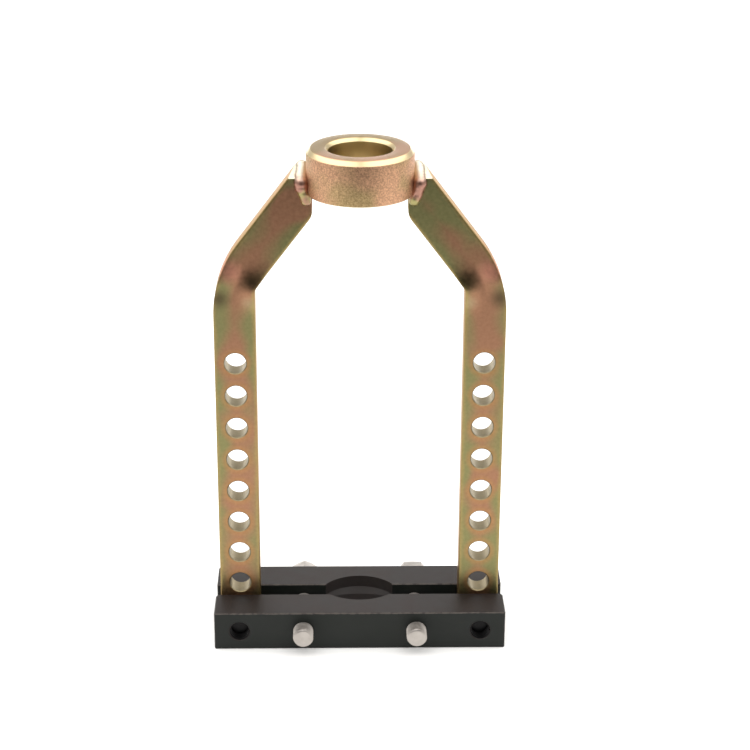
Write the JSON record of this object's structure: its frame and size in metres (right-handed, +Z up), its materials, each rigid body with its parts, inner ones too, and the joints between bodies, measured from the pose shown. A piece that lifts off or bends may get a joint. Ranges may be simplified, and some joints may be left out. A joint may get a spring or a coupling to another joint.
{
  "type": "joint and propshaft puller frame",
  "caption": "Puller frame: a collar welded to two bent arms with rows of holes, over two notched jaw bars that screws close on a shaft.",
  "frame": {"origin": "on the floor that the jaws rest on, midway between the two jaws and between the two arms, under the collar's axis", "axes": "+X along the jaws from the left arm to the right one, +Y from the front jaw to the rear jaw and its screw heads, +Z up to the collar"},
  "size_m": [0.145, 0.0678, 0.2523],
  "materials": {
    "collar_zinc": "turned steel, yellow chromated zinc plate",
    "arm_zinc": "flat bar steel, iridescent yellow chromated zinc plate",
    "weld_zinc": "weld metal under yellow chromated zinc plate",
    "black_oxide": "machined steel, black oxide",
    "bright_zinc": "clear zinc plate, satin",
    "black_screw": "hardened steel, black oxide, oiled"
  },
  "bodies": {
    "frame": {"collar": "collar_zinc", "arm_left": "arm_zinc", "arm_right": "arm_zinc", "weld_left": "weld_zinc", "weld_right": "weld_zinc", "front_jaw": "black_oxide"},
    "rear_jaw": {"rear_jaw": "black_oxide", "lock_washer_left": "bright_zinc", "lock_washer_right": "bright_zinc"},
    "clamp_bolt_left": {"clamp_bolt_left": "bright_zinc"},
    "clamp_bolt_right": {"clamp_bolt_right": "bright_zinc"},
    "end_screw_left": {"end_screw_left": "black_screw"},
    "end_screw_right": {"end_screw_right": "black_screw"}
  },
  "joints": [
    {"name": "rear_jaw_slide", "type": "slide", "parent": "frame", "child": "rear_jaw", "axis": [0, 1, 0], "range_m": [0, 0.012]},
    {"name": "clamp_bolt_left_turn", "type": "hinge", "parent": "rear_jaw", "child": "clamp_bolt_left", "pos_m": [-0.0282, 0.025, 0.01], "axis": [0, 1, 0], "range_deg": [0, 2880]},
    {"name": "clamp_bolt_right_turn", "type": "hinge", "parent": "rear_jaw", "child": "clamp_bolt_right", "pos_m": [0.0282, 0.025, 0.01], "axis": [0, 1, 0], "range_deg": [0, 2880]},
    {"name": "end_screw_left_turn", "type": "hinge", "parent": "rear_jaw", "child": "end_screw_left", "pos_m": [-0.06, 0.025, 0.01], "axis": [0, 1, 0], "range_deg": [0, 2880]},
    {"name": "end_screw_right_turn", "type": "hinge", "parent": "rear_jaw", "child": "end_screw_right", "pos_m": [0.06, 0.025, 0.01], "axis": [0, 1, 0], "range_deg": [0, 2880]}
  ],
  "couplings": [
    {"joint": "clamp_bolt_left_turn", "follows": "rear_jaw_slide", "rad_per_m": 4188.8},
    {"joint": "clamp_bolt_right_turn", "follows": "rear_jaw_slide", "rad_per_m": 4188.8},
    {"joint": "end_screw_left_turn", "follows": "rear_jaw_slide", "rad_per_m": 4188.8},
    {"joint": "end_screw_right_turn", "follows": "rear_jaw_slide", "rad_per_m": 4188.8}
  ]
}
